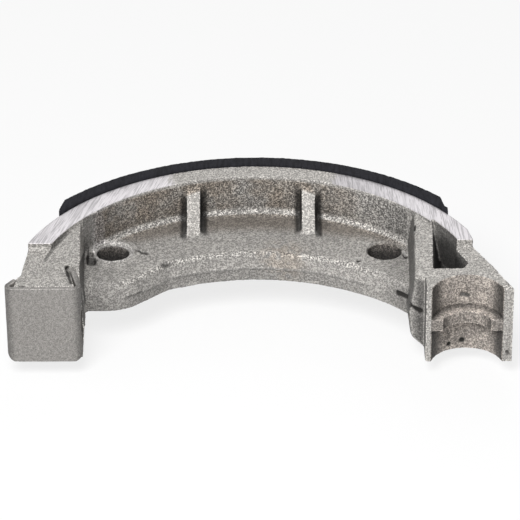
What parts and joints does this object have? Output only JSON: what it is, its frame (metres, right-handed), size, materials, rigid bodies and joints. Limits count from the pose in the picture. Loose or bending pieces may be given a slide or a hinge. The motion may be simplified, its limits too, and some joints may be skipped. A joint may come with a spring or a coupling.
{
  "type": "drum brake shoe",
  "caption": "Cast aluminium drum brake shoe with bonded lining, half-round pivot seat at one end and a sheet-metal cap on the flat cam end.",
  "frame": {"origin": "on the axis of the pivot pin that the half-round seat rests on, in the middle of the shoe's width", "axes": "+X from the cam end to the pivot end, +Y from the drum's centre out to the crown of the lining, +Z along the drum's axis"},
  "size_m": [0.1575, 0.0759, 0.037],
  "materials": {
    "cast_aluminium": "sand-cast, with machined rim faces",
    "lining_compound": "moulded friction compound, ground and sawn",
    "cap_steel": "dull tumbled sheet steel"
  },
  "bodies": {
    "root": {"shoe_casting": "cast_aluminium", "friction_lining": "lining_compound", "cam_cap": "cap_steel"}
  },
  "joints": []
}
